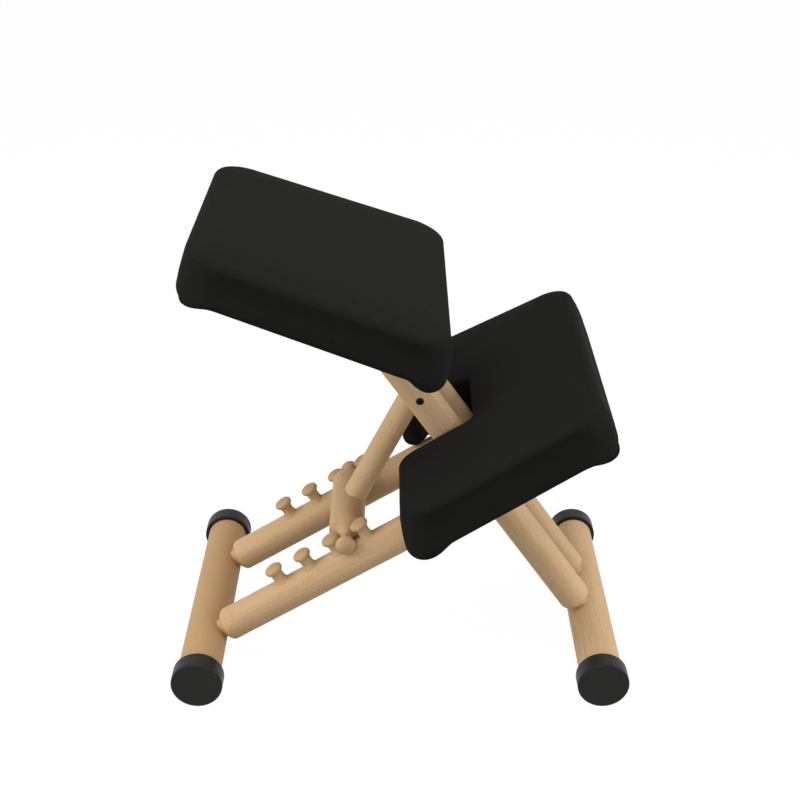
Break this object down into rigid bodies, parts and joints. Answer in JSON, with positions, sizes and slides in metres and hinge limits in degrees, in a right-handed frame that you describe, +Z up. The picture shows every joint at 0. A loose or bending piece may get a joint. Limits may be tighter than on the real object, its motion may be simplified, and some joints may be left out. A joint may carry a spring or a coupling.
{
  "type": "kneeling chair",
  "caption": "Folding kneeling chair of round wooden bars with a padded seat, a padded knee rest and a strut that leans in a row of height pegs.",
  "frame": {"origin": "on the floor, under the middle of the base, halfway between the two cross rails and halfway between the caps", "axes": "+Z up; the sitter faces -Y; the sitter's left is +X; the cross rails, the pivot bolt, the strut bolt and the cross bar run along X"},
  "size_m": [0.4804, 0.62, 0.6484],
  "materials": {
    "beech": "clear matt lacquer on turned beech",
    "plywood": "bare birch plywood",
    "rubber": "moulded rubber with a soft shine",
    "fabric": "black woven upholstery cloth",
    "black_steel": "black oxide on steel",
    "zinc": "zinc plate",
    "nylon": "natural nylon"
  },
  "bodies": {
    "knee_frame": {"back_cross_rail": "beech", "back_cap_left": "rubber", "back_cap_right": "rubber", "knee_rail_left": "beech", "knee_rail_right": "beech", "height_peg_left_1": "beech", "height_peg_left_2": "beech", "height_peg_left_3": "beech", "height_peg_left_4": "beech", "height_peg_right_1": "beech", "height_peg_right_2": "beech", "height_peg_right_3": "beech", "height_peg_right_4": "beech", "pivot_bolt": "black_steel", "pivot_nut": "black_steel", "pivot_washer_left": "nylon", "pivot_washer_right": "nylon", "knee_saddle_left": "beech", "knee_saddle_right": "beech", "knee_board": "plywood", "knee_board_screws": "zinc", "knee_cushion": "fabric"},
    "seat_frame": {"front_cross_rail": "beech", "front_cap_left": "rubber", "front_cap_right": "rubber", "seat_leg_left": "beech", "seat_leg_right": "beech", "seat_board": "plywood", "seat_board_screws": "zinc", "seat_cushion": "fabric", "strut_bolt": "black_steel", "strut_nut": "black_steel"},
    "strut": {"strut": "beech", "cross_bar": "beech"}
  },
  "joints": [
    {"name": "seat_lift", "type": "hinge", "parent": "knee_frame", "child": "seat_frame", "pos_m": [0, -0.11095, 0.27054], "axis": [1, 0, 0], "range_deg": [0, 10]},
    {"name": "strut_swing", "type": "hinge", "parent": "seat_frame", "child": "strut", "pos_m": [0, -0.02645, 0.39211], "axis": [1, 0, 0], "range_deg": [-1.2, 0]}
  ],
  "couplings": [
    {"joint": "strut_swing", "follows": "seat_lift", "ratio": -0.12}
  ]
}
